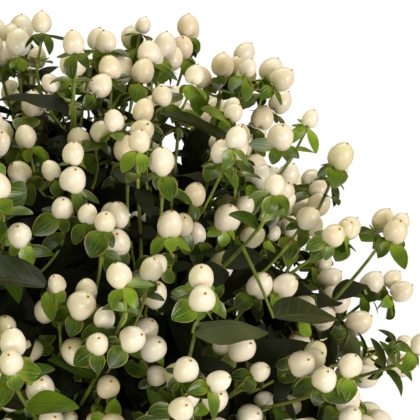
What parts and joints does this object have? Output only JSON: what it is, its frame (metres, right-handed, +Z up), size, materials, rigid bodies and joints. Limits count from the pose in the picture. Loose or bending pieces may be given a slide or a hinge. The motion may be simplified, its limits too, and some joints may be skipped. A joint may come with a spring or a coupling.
{
  "type": "potted st johns wort",
  "caption": "Low, rounded evergreen shrub in a plain round clay pot, with opposite dark green leaves and cream, egg-shaped berries all over its dome.",
  "frame": {"origin": "middle of the pot's flat underside, where it stands", "axes": "+Z up, out of the pot's mouth. +X to the right and -Y towards the viewer of the picture, whose view is from the front and a little above"},
  "size_m": [0.3207, 0.3201, 0.3522],
  "materials": {
    "clay": "matt, porous, unglazed clay",
    "compost": "crumbly and matt",
    "stem": "smooth, waxy, yellow-green",
    "foliage": "leathery green leaves with a dull gloss",
    "berries": "smooth, waxy cream with a soft gloss",
    "berry_tips": "dry and brown"
  },
  "bodies": {
    "root": {"pot": "clay", "compost": "compost", "stem_top": "stem", "foliage_top": "foliage", "stem_upper_1": "stem", "foliage_upper_1": "foliage", "stem_upper_2": "stem", "foliage_upper_2": "foliage", "stem_upper_3": "stem", "foliage_upper_3": "foliage", "stem_upper_4": "stem", "foliage_upper_4": "foliage", "stem_upper_5": "stem", "foliage_upper_5": "foliage", "stem_middle_1": "stem", "foliage_middle_1": "foliage", "stem_middle_2": "stem", "foliage_middle_2": "foliage", "stem_middle_3": "stem", "foliage_middle_3": "foliage", "stem_middle_4": "stem", "foliage_middle_4": "foliage", "stem_middle_5": "stem", "foliage_middle_5": "foliage", "stem_middle_6": "stem", "foliage_middle_6": "foliage", "stem_middle_7": "stem", "foliage_middle_7": "foliage", "stem_middle_8": "stem", "foliage_middle_8": "foliage", "stem_skirt_1": "stem", "foliage_skirt_1": "foliage", "stem_skirt_2": "stem", "foliage_skirt_2": "foliage", "stem_skirt_3": "stem", "foliage_skirt_3": "foliage", "stem_skirt_4": "stem", "foliage_skirt_4": "foliage", "stem_skirt_5": "stem", "foliage_skirt_5": "foliage", "stem_skirt_6": "stem", "foliage_skirt_6": "foliage", "stem_skirt_7": "stem", "foliage_skirt_7": "foliage", "stem_skirt_8": "stem", "foliage_skirt_8": "foliage"}
  },
  "joints": []
}
